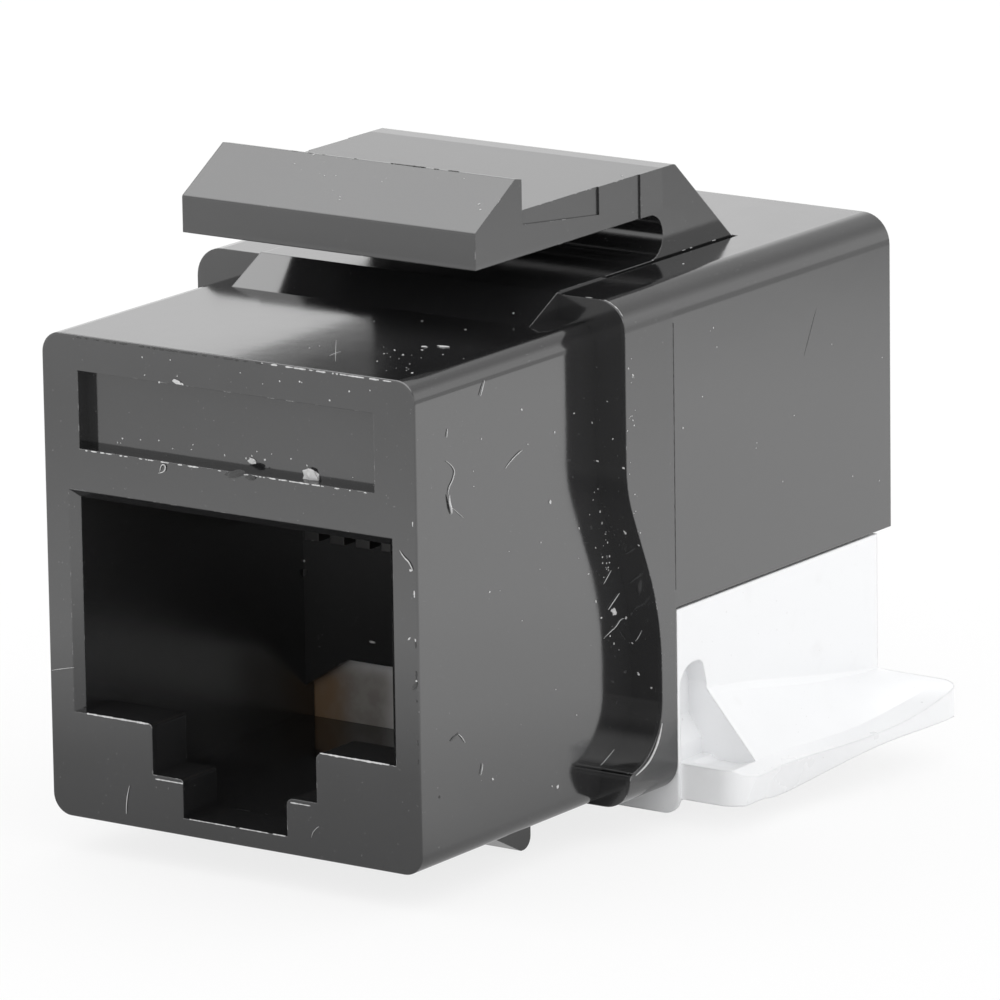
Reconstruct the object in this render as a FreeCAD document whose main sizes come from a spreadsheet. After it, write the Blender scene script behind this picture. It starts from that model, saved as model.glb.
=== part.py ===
import FreeCAD, Part
import Sketcher
import math
import os

# Keystone jack: a snap-in data socket with a snap-on wire cap underneath.
# Millimetres. X is across the jack, -Y is the side the plug enters, +Z is up.
# The origin is under the middle of the jack, at the height of its lowest point.
# Outlines are drawn from the datum: the front face (depth 0) and the body's
# underside (height 0), so depths and heights below are as read off the jack.

# ---------------------------------------------------------------------- counts
CONTACTS = 8
SLOTS = 4               # wire slots along each tower
OVER = 0.5              # cuts run this far past open faces
SINK = 0.2              # pads start this far inside what carries them

# ----------------------------------------------------------------------- sizes
SIZES = [
    # front housing: body and flange
    ("side_wall", 1.21, "body wall beside the port"),
    ("body_radius", 0.7, "long outer edges of the body"),
    ("front_radius", 0.05, "edge round the front face"),
    ("flange_overhang", 1.17, "flange past the body, each side"),
    ("flange_front", 9.92, "depth of the flange's front face"),
    ("flange_thickness", 2.74, "flange, front to rear"),
    ("deck_rise", 0.79, "flange and cover top above the body top"),
    ("flange_radius", 1.0, "flange and cover corners"),
    # side scallops of the flange
    ("scallop_top", 10.47, "height where the scallop leaves the front face"),
    ("scallop_bend", 6.08, "height where it turns upright again"),
    ("scallop_depth", 1.9, "how far the scallop cuts into the flange"),
    ("scallop_foot", 1.2, "height of the foot below the scallop"),
    ("scallop_rise", 0.14, "slope of the foot's top"),
    ("scallop_upper_radius", 4.0, "upper curve"),
    ("scallop_lower_radius", 9.0, "middle curve"),
    ("scallop_foot_radius", 2.0, "curve into the foot"),
    ("scallop_toe_radius", 0.25, "front corner of the foot"),
    # ramp, tongue and spring latch
    ("ramp_width", 11.7, "ramp across"),
    ("ramp_run", 1.62, "ramp, front to rear"),
    ("latch_width", 11.54, "tongue and latch root across"),
    ("root_step", 0.05, "arm narrower than its root, each side"),
    ("tongue_proud", 0.05, "tongue above the deck"),
    ("tongue_reach", 7.45, "tongue behind the flange"),
    ("arm_gap", 1.53, "arm above the deck"),
    ("arm_thickness", 1.46, "spring arm"),
    ("root_length", 4.05, "root along the deck"),
    ("slant_run", 3.32, "slant behind the arm, front to rear"),
    ("slant_radius", 0.25, "corner where the arm's top turns down"),
    ("arm_step_set", 2.0, "root's side face, ahead of the slant"),
    ("panel_grip", 1.75, "between the catch faces and the flange"),
    ("hook_length", 2.6, "hook ahead of its catch face"),
    ("nose_height", 1.2, "hook's upright nose"),
    ("nose_radius", 0.1, "nose's top edge"),
    ("crest_rise", 1.09, "crest above the arm's top"),
    ("crest_set", 0.35, "crest ahead of the catch face"),
    ("crest_fall", 0.07, "from the crest to the catch face's top"),
    ("crest_radius", 0.06, "crest's edge"),
    ("panel_depth", 0.06, "sunk panel in the arm's sides"),
    ("panel_reach", 4.33, "sunk panel behind the catch face"),
    ("panel_low_front", 0.45, "panel's lower edge below the arm's top, in front"),
    ("panel_low_rear", 0.91, "the same at its rear"),
    # fixed lug under the body
    ("lug_run", 2.87, "lug's front to its catch face"),
    ("lug_toe", 0.55, "flat under the lug"),
    ("lug_drop", 1.18, "lug below the underside"),
    ("lug_radius", 0.42, "lug's lower rear corner"),
    # plug port
    ("port_width", 12.08, "port across"),
    ("port_floor", 3.5, "height of the upper ledges"),
    ("port_ceiling", 10.55, "height of the port's top"),
    ("notch_width", 6.44, "first notch across"),
    ("notch_drop", 1.65, "first notch below the ledges"),
    ("slit_width", 4.08, "second notch across"),
    ("slit_drop", 1.27, "second notch below the first"),
    ("step_radius", 0.25, "inner corners of the steps"),
    ("lip_depth", 1.8, "thickness of the stepped front wall"),
    ("cavity_floor", 0.5, "height of the floor behind the lip"),
    ("back_wall", 0.46, "wall behind the cavity"),
    ("mouth_bevel", 0.28, "bevel round the mouth"),
    ("window_top", 2.76, "height of the window in the back wall"),
    ("window_cut_x", 1.75, "window's corner cut, across"),
    ("window_cut_z", 1.1, "window's corner cut, in height"),
    # label recess
    ("label_left", 5.84, "label recess to the left of centre"),
    ("label_right", 5.67, "label recess to the right of centre"),
    ("label_gap", 1.65, "recess above the port"),
    ("label_height", 2.55, "label recess, high"),
    ("label_depth", 0.5, "label recess, deep"),
    ("brow", 1.15, "body top above the recess"),
    # spigot behind the flange
    ("spigot_clear", 0.15, "spigot inside the cover, each side"),
    ("spigot_lift", 0.28, "spigot above the cover's lower edge"),
    ("spigot_reach", 1.54, "spigot behind the flange"),
    ("spigot_wall", 0.9, "spigot's side walls"),
    ("spigot_roof", 0.6, "spigot's roof"),
    # rear cover
    ("cover_step", 0.02, "cover inside the flange, each side"),
    ("cover_bottom", 6.12, "height of the cover's lower edge"),
    ("cover_wall", 1.1, "side and rear walls"),
    ("cover_roof", 1.24, "roof"),
    ("roof_clear", 0.05, "tongue and spigot below the roof"),
    ("tongue_gap", 0.14, "round the tongue in its notch"),
    ("nib_height", 0.5, "nibs under the connector block"),
    ("nib_reach", 0.35, "nibs, inward"),
    ("nib_length", 2.0, "nibs along the wall"),
    ("post_radius", 0.6, "posts over the board"),
    ("post_side", 1.2, "posts from the board's sides"),
    ("post_set", 1.4, "posts from the board's rear edge"),
    # contact carrier
    ("plate_margin", 0.55, "carrier plate beside its outer grooves"),
    ("plate_set", 1.3, "carrier plate behind the lip"),
    ("plate_lift", 0.05, "carrier plate above the port's top"),
    ("plate_thickness", 1.3, "carrier plate"),
    ("plate_radius", 0.2, "plate's front edges"),
    ("well_clear", 0.15, "round the carrier in its well"),
    ("groove_depth", 0.48, "wire grooves, deep"),
    ("groove_width", 0.46, "wire grooves, across"),
    ("comb_length", 2.66, "comb ahead of the seam"),
    ("comb_back", 0.96, "wall behind the comb slots"),
    ("comb_drop", 3.3, "comb below the plate's underside"),
    ("gate_clear", 0.2, "below the comb in the back wall's gate"),
    ("heel_length", 1.89, "carrier heel behind the seam"),
    ("heel_clear", 0.25, "heel inside the spigot, each side"),
    ("heel_lift", 0.3, "heel above the comb's underside"),
    # contacts
    ("contact_pitch", 1.02, "contact pitch"),
    ("contact_thick", 0.34, "contact strip section"),
    ("contact_lift", 0.03, "upper run above the groove's floor"),
    ("bend_reach", 0.55, "front bend ahead of the carrier plate"),
    ("bend_drop", 1.42, "from the upper run to the free arm"),
    ("bend_radius", 0.6, "front bend"),
    ("tail_radius", 0.4, "bend into the tail"),
    ("tip_reach", 0.7, "free tip behind the comb's front"),
    ("tip_height", 0.7, "free tip above the comb's underside"),
    ("tail_set", 0.85, "odd contacts' tails behind the seam"),
    ("tail_stagger", 0.7, "even contacts' tails behind the odd ones"),
    ("tail_proud", 0.4, "tails above the board"),
    # circuit board
    ("board_rise", 0.98, "board above the heel"),
    ("board_thickness", 1.6, "board"),
    ("board_clear", 0.4, "board inside the cover, each side"),
    ("neck_clear", 0.15, "board's neck inside the spigot, each side"),
    ("board_set", 0.24, "board behind the seam"),
    ("shoulder_gap", 0.2, "board's shoulders behind the spigot"),
    ("board_end_gap", 0.15, "board ahead of the cover's rear wall"),
    ("pin_clear", 0.12, "round the tails in their holes"),
    # connector block and its blades
    ("block_gap", 0.25, "block behind the carrier heel"),
    ("block_clear", 0.15, "block inside the cover, each side"),
    ("block_plate", 2.0, "base plate"),
    ("tower_inner", 2.2, "towers' inner face from centre"),
    ("tower_clear", 0.2, "round the towers in the cap"),
    ("tower_foot_gap", 1.0, "towers' free end above the cap's floor"),
    ("wire_slot_width", 0.9, "wire slots"),
    ("wire_slot_depth", 5.3, "wire slots, from the towers' free end"),
    ("slot_flare", 0.3, "wire slots' mouth, wider each side"),
    ("flare_height", 0.6, "wire slots' mouth, high"),
    ("slot_set", 1.1, "first wire slot behind the block's front"),
    ("slot_pitch", 2.05, "wire slot pitch"),
    ("slot_end", 1.25, "towers behind the last wire slot"),
    ("blade_thick", 0.4, "blade sheet"),
    ("blade_width", 1.36, "blade across"),
    ("blade_slit", 0.34, "slit for the wire"),
    ("blade_mouth", 0.22, "slit's mouth, wider each side"),
    ("mouth_rise", 0.8, "slit's mouth, high"),
    ("blade_inset", 0.4, "blade's free end above the towers'"),
    ("blade_root", 0.3, "slit's closed end short of the wire slot's"),
    ("blade_tail_width", 0.6, "blade's tail"),
    ("blade_clear", 0.05, "round a blade in its pocket"),
    ("blade_top_gap", 0.1, "blade's shoulders below the board"),
    # wire cap
    ("cap_gap", 0.06, "cap behind the flange"),
    ("cap_top_gap", 0.08, "between cap and cover"),
    ("cap_inset", 0.85, "cap ahead of the cover's rear face"),
    ("cap_wall_bottom", 0.6, "height of the side walls' foot"),
    ("cap_side_wall", 1.3, "cap's side walls"),
    ("cap_rear_wall", 1.2, "cap's rear wall"),
    ("plate_front", 0.15, "cap's front plate"),
    ("plate_corner", 0.55, "front plate's lower corners"),
    ("core_step", 0.45, "core inside the walls, each side"),
    ("core_inset", 0.7, "core ahead of the cap's rear face"),
    ("core_drop", 0.8, "core below the jack's underside"),
    ("core_radius", 0.6, "core's lower edges"),
    ("cap_floor", 2.0, "cap's floor"),
    ("thumb_length", 1.68, "thumb notch, from the cap's front"),
    ("thumb_top", 4.11, "height of the thumb notch's top"),
    ("thumb_front_radius", 0.8, "thumb notch's top corner, front"),
    ("thumb_rear_radius", 0.35, "thumb notch's top corner, rear"),
    ("thumb_lean", 0.25, "rear corner ahead of the notch's rear face"),
    ("thumb_fall", 0.85, "from the notch's top to its upright rear face"),
    ("thumb_deep", 0.7, "notch into the wall, high up"),
    ("thumb_shallow", 0.2, "notch into the wall, low down"),
    ("thumb_step", 2.2, "height where the inner face starts to lean out"),
    ("thumb_slope", 1.4, "height where it is upright again"),
    ("dish_floor", 0.72, "height of the hollow in the brim"),
    ("dish_radius", 0.4, "hollow's round corners"),
    ("dish_heel", 0.5, "hollow's round corner from the wall"),
    ("dish_toe", 0.55, "hollow's floor from its outer rim"),
    ("brim_rim", 0.3, "rim ahead of the hollow"),
    ("brim_radius", 0.95, "brim's front corners"),
    ("wing_radius", 0.3, "wings' rear corners"),
    ("wing_b_run", 3.0, "second wing section behind the thumb notch"),
    ("wing_c_run", 5.8, "third wing section"),
    ("wing_d_run", 8.4, "fourth wing section"),
    ("press_clear", 0.1, "presser ribs inside the wire slots, each side"),
    ("press_reach", 1.1, "presser ribs past the towers' free end"),
    ("press_gap", 0.35, "presser ribs from the blades"),
    ("press_inset", 0.2, "presser ribs inside the towers' outer face"),
    ("recess_width", 10.4, "recess in the cap's underside, across"),
    ("recess_margin", 0.6, "recess inside the hollow, front and rear"),
    ("recess_depth", 0.9, "recess in the cap's underside, deep"),
    ("recess_radius", 0.8, "recess's corners"),
]

# Wing outline at five depths, as distance out from the cap's side wall and height:
# where it leaves the wall, upper corner, shelf, outer corner, lower corner.
WING_FIELDS = ("rise", "crease_out", "crease_z", "shelf_out", "shelf_z",
               "edge_out", "edge_z", "foot_out", "foot_z")
WING = [
    ("a", 3.20, 0.17, 2.86, 1.89, 0.89, 2.44, 0.62, 2.25, -0.30),
    ("b", 2.85, 0.15, 2.42, 1.92, 0.80, 2.52, 0.60, 2.28, -0.28),
    ("c", 2.38, 0.12, 1.92, 1.95, 0.70, 2.94, 0.66, 2.90, 0.20),
    ("d", 1.93, 0.08, 1.58, 2.05, 0.90, 3.13, 0.92, 3.10, 0.24),
    ("e", 1.60, 0.05, 1.44, 2.65, 1.42, 3.13, 1.30, 3.10, 0.25),
]

# Places that follow from the sizes.
PLACES = [
    # across
    ("body_width", "port_width + 2 * side_wall"),
    ("flange_width", "body_width + 2 * flange_overhang"),
    ("cover_width", "flange_width - 2 * cover_step"),
    ("cover_inner", "cover_width - 2 * cover_wall"),
    ("spigot_width", "cover_inner - 2 * spigot_clear"),
    ("spigot_inner", "spigot_width - 2 * spigot_wall"),
    ("plate_width", "contact_pitch * %d + groove_width + 2 * plate_margin" % (CONTACTS - 1)),
    ("well_width", "plate_width + 2 * well_clear"),
    ("heel_width", "spigot_inner - 2 * heel_clear"),
    ("board_width", "cover_inner - 2 * board_clear"),
    ("board_neck", "spigot_inner - 2 * neck_clear"),
    ("block_width", "cover_inner - 2 * block_clear"),
    ("cap_width", "cover_width"),
    ("bay_width", "cap_width - 2 * cap_side_wall"),
    ("tower_outer", "bay_width / 2 - tower_clear"),
    ("blade_centre", "(tower_inner + tower_outer) / 2"),
    # depths, from the front face
    ("seam", "flange_front + flange_thickness"),
    ("catch_depth", "flange_front - panel_grip"),
    ("hook_front", "catch_depth - hook_length"),
    ("tongue_end", "seam + tongue_reach"),
    ("slot_back", "tongue_end - root_length"),
    ("slant_top", "tongue_end - slant_run"),
    ("cavity_depth", "seam - back_wall"),
    ("spigot_end", "seam + spigot_reach"),
    ("plate_nose", "lip_depth + plate_set"),
    ("comb_front", "seam - comb_length"),
    ("heel_rear", "seam + heel_length"),
    ("tail_front", "seam + tail_set"),
    ("tail_rear", "tail_front + tail_stagger"),
    ("block_front", "heel_rear + block_gap"),
    ("slot_first", "block_front + slot_set"),
    ("tower_rear", "slot_first + slot_pitch * %d + slot_end" % (SLOTS - 1)),
    ("cap_front", "seam + cap_gap"),
    ("thumb_front", "cap_front + plate_front"),
    ("thumb_rear", "cap_front + thumb_length"),
    ("bay_front", "block_front - tower_clear"),
    ("bay_rear", "tower_rear + tower_clear"),
    ("cap_rear", "bay_rear + cap_rear_wall"),
    ("cover_rear", "cap_rear + cap_inset"),
    ("board_front", "seam + board_set"),
    ("board_shoulder", "spigot_end + shoulder_gap"),
    ("board_rear", "cover_rear - cover_wall - board_end_gap"),
    # heights, from the body's underside
    ("notch_floor", "port_floor - notch_drop"),
    ("slit_floor", "notch_floor - slit_drop"),
    ("label_bottom", "port_ceiling + label_gap"),
    ("label_top", "label_bottom + label_height"),
    ("body_height", "label_top + brow"),
    ("deck_height", "body_height + deck_rise"),
    ("tongue_top", "deck_height + tongue_proud"),
    ("roof_under", "deck_height - cover_roof"),
    ("tongue_under", "roof_under - roof_clear"),
    ("arm_under", "deck_height + arm_gap"),
    ("arm_top", "arm_under + arm_thickness"),
    ("crest_height", "arm_top + crest_rise"),
    ("spigot_bottom", "cover_bottom + spigot_lift"),
    ("plate_under", "port_ceiling + plate_lift"),
    ("plate_top", "plate_under + plate_thickness"),
    ("well_top", "plate_top + well_clear"),
    ("groove_floor", "plate_top - groove_depth"),
    ("comb_under", "plate_under - comb_drop"),
    ("gate_bottom", "comb_under - gate_clear"),
    ("heel_under", "comb_under + heel_lift"),
    ("contact_run", "groove_floor + contact_thick / 2 + contact_lift"),
    ("contact_turn", "contact_run - bend_drop"),
    ("board_under", "groove_floor + board_rise"),
    ("board_top", "board_under + board_thickness"),
    ("tail_top", "board_top + tail_proud"),
    ("block_under", "board_under - block_plate"),
    ("core_bottom", "-core_drop"),
    ("bay_floor", "core_bottom + cap_floor"),
    ("tower_tip", "bay_floor + tower_foot_gap"),
    ("wire_slot_top", "tower_tip + wire_slot_depth"),
    ("blade_tip", "tower_tip + blade_inset"),
    ("cap_top", "cover_bottom - cap_top_gap"),
    ("press_top", "tower_tip + press_reach"),
    # holes
    ("tail_hole", "contact_thick / sqrt(2) + pin_clear"),
    ("blade_hole", "sqrt(blade_tail_width ^ 2 + blade_thick ^ 2) / 2 + pin_clear"),
]

doc = FreeCAD.newDocument("keystone_jack")
sheet = doc.addObject("Spreadsheet::Sheet", "P")


class Size:
    """A number together with the spreadsheet formula that gives it."""

    def __init__(self, text, value):
        self.text, self.value = text, value

    def __add__(self, other):
        other = size(other)
        return Size("(%s + %s)" % (self.text, other.text), self.value + other.value)

    def __sub__(self, other):
        other = size(other)
        return Size("(%s - %s)" % (self.text, other.text), self.value - other.value)

    def __rsub__(self, other):
        return size(other) - self

    def __mul__(self, factor):
        return Size("(%s * %s)" % (self.text, factor), self.value * factor)

    def __truediv__(self, divisor):
        return Size("(%s / %s)" % (self.text, divisor), self.value / divisor)

    def __neg__(self):
        return Size("(-%s)" % self.text, -self.value)

    __radd__ = __add__
    __rmul__ = __mul__


def size(number):
    return number if isinstance(number, Size) else Size(repr(number), float(number))


class Sizes:
    """Every named size, as an attribute."""


D = Sizes()


def fill_sheet():
    """Put every size and place in the sheet and make it an attribute of D."""
    rows = [(name, str(number)) for name, number, note in SIZES]
    for section in WING:
        for field, number in zip(WING_FIELDS, section[1:]):
            rows.append(("wing_%s_%s" % (section[0], field), str(number)))
    rows += [(name, "=" + formula) for name, formula in PLACES]
    for row, (name, content) in enumerate(rows, start=1):
        sheet.set("A%d" % row, name)
        sheet.set("B%d" % row, content)
        sheet.setAlias("B%d" % row, name)
    for row, (name, number, note) in enumerate(SIZES, start=1):
        sheet.set("C%d" % row, note)
    doc.recompute()
    for name, content in rows:
        setattr(D, name, Size("P." + name, float(sheet.get(name))))


fill_sheet()
FRONT = -D.cover_rear / 2       # front face, from the origin
GROUND = D.lug_drop             # body's underside, from the origin


# --------------------------------------------------------------------- helpers
def bind(target, path, number):
    number = size(number)
    target.setExpression(path, number.text)


def new_body(label):
    body = doc.addObject("PartDesign::Body", label)
    body.Label = label
    return body


def origin_part(body, role):
    return [f for f in body.Origin.OriginFeatures if f.Role == role][0]


def sketch_on(body, name, plane, offset=0):
    """Sketch on one of the body's origin planes, measured from the datum."""
    sketch = body.newObject("Sketcher::SketchObject", name)
    sketch.AttachmentSupport = [(origin_part(body, plane), "")]
    sketch.MapMode = "FlatFace"
    base = {"XY_Plane": (0, FRONT, GROUND + offset),
            "XZ_Plane": (0, GROUND, -(FRONT + offset)),
            "YZ_Plane": (FRONT, GROUND, offset)}[plane]
    for axis, number in zip("xyz", base):
        bind(sketch, "AttachmentOffset.Base." + axis, number)
    return sketch


def place(sketch, geometry, point, x, y):
    """Fix a point at x, y from the sketch's origin."""
    for kind, number, axis in (("DistanceX", x, -2), ("DistanceY", y, -1)):
        if not isinstance(number, Size) and number == 0:
            sketch.addConstraint(
                Sketcher.Constraint("PointOnObject", geometry, point, axis))
            continue
        number = size(number)
        row = sketch.addConstraint(
            Sketcher.Constraint(kind, -1, 1, geometry, point, number.value))
        sketch.setExpression("Constraints[%d]" % row, number.text)


def outline(sketch, corners, closed=True):
    """Straight-sided outline. A corner is (x, y) or (x, y, radius)."""
    count = len(corners)
    spots = [FreeCAD.Vector(size(c[0]).value, size(c[1]).value, 0) for c in corners]
    enter, leave, arcs = list(spots), list(spots), {}
    for i, corner in enumerate(corners):
        if len(corner) < 3:
            continue
        radius = size(corner[2]).value
        back = (spots[i - 1] - spots[i]).normalize()
        ahead = (spots[(i + 1) % count] - spots[i]).normalize()
        half = back.getAngle(ahead) / 2
        enter[i] = spots[i] + back * (radius / math.tan(half))
        leave[i] = spots[i] + ahead * (radius / math.tan(half))
        centre = spots[i] + (back + ahead).normalize() * (radius / math.sin(half))
        left_turn = back.cross(ahead).z < 0
        first, last = (enter[i], leave[i]) if left_turn else (leave[i], enter[i])
        start = math.atan2(first.y - centre.y, first.x - centre.x)
        stop = math.atan2(last.y - centre.y, last.x - centre.x)
        arcs[i] = (Part.ArcOfCircle(Part.Circle(centre, FreeCAD.Vector(0, 0, 1), radius),
                                    start, stop), left_turn)
    sides = []
    for i in range(count if closed else count - 1):
        j = (i + 1) % count
        sides.append(sketch.addGeometry(Part.LineSegment(leave[i], enter[j]), False))
    for i, corner in enumerate(corners):
        before = sides[i - 1] if closed or i > 0 else None
        after = sides[i] if i < len(sides) else None
        if i not in arcs:
            if before is not None and after is not None:
                sketch.addConstraint(Sketcher.Constraint("Coincident", before, 2, after, 1))
            if after is not None:
                place(sketch, after, 1, corner[0], corner[1])
            else:
                place(sketch, before, 2, corner[0], corner[1])
            continue
        shape, left_turn = arcs[i]
        arc = sketch.addGeometry(shape, False)
        spot = sketch.addGeometry(Part.Point(spots[i]), True)
        near, far = (1, 2) if left_turn else (2, 1)
        sketch.addConstraint(Sketcher.Constraint("Tangent", before, 2, arc, near))
        sketch.addConstraint(Sketcher.Constraint("Tangent", after, 1, arc, far))
        sketch.addConstraint(Sketcher.Constraint("PointOnObject", spot, 1, before))
        sketch.addConstraint(Sketcher.Constraint("PointOnObject", spot, 1, after))
        place(sketch, spot, 1, corner[0], corner[1])
        radius = size(corner[2])
        row = sketch.addConstraint(Sketcher.Constraint("Radius", arc, radius.value))
        sketch.setExpression("Constraints[%d]" % row, radius.text)
    return sketch


def box_outline(sketch, left, right, low, high, radius=None):
    corners = [(left, low), (right, low), (right, high), (left, high)]
    if radius is not None:
        corners = [corner + (radius,) for corner in corners]
    return outline(sketch, corners)


def circle(sketch, x, y, radius):
    shape = Part.Circle(FreeCAD.Vector(size(x).value, size(y).value, 0),
                        FreeCAD.Vector(0, 0, 1), size(radius).value)
    ring = sketch.addGeometry(shape, False)
    place(sketch, ring, 3, x, y)
    row = sketch.addConstraint(Sketcher.Constraint("Radius", ring, size(radius).value))
    sketch.setExpression("Constraints[%d]" % row, size(radius).text)
    return sketch


def extrude(body, kind, sketch, length, side="One side", flip=False):
    feature = body.newObject("PartDesign::" + kind, sketch.Name + "_" + kind.lower())
    feature.Profile = sketch
    feature.SideType = side
    feature.Reversed = flip
    bind(feature, "Length", length)
    sketch.Visibility = False
    return feature


def pad(body, sketch, length, **options):
    return extrude(body, "Pad", sketch, length, **options)


def pocket(body, sketch, length, **options):
    return extrude(body, "Pocket", sketch, length, **options)


def mirror_x(body, features, name):
    mirrored = body.newObject("PartDesign::Mirrored", name)
    mirrored.Originals = features
    mirrored.MirrorPlane = (origin_part(body, "YZ_Plane"), [""])
    body.Tip = mirrored
    return mirrored


def row_of(body, features, name, role, pitch, count):
    """Repeat features along one of the body's axes."""
    pattern = body.newObject("PartDesign::LinearPattern", name)
    pattern.Originals = features
    pattern.Direction = (origin_part(body, role), [""])
    pattern.Mode = "Spacing"
    pattern.Occurrences = count
    bind(pattern, "Offset", pitch)
    body.Tip = pattern
    return pattern


def ease(body, name, radius, chosen, kind="Fillet"):
    """Round or bevel the edges of the body's tip that pass the test."""
    doc.recompute()
    base = body.Tip
    names = ["Edge%d" % (i + 1) for i, edge in enumerate(base.Shape.Edges) if chosen(edge)]
    feature = body.newObject("PartDesign::" + kind, name)
    feature.Base = (base, names)
    bind(feature, "Radius" if kind == "Fillet" else "Size", radius)
    return feature


def near(a, b):
    return abs(a - b) < 1e-4


def spread(edge):
    box = edge.BoundBox
    return box.XLength, box.YLength, box.ZLength


def at_depth(depth):
    """Test for edges that lie in the plane at this depth."""
    plane = (FRONT + depth).value

    def test(edge):
        return near(edge.BoundBox.YMin, plane) and near(edge.BoundBox.YLength, 0)
    return test


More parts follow.
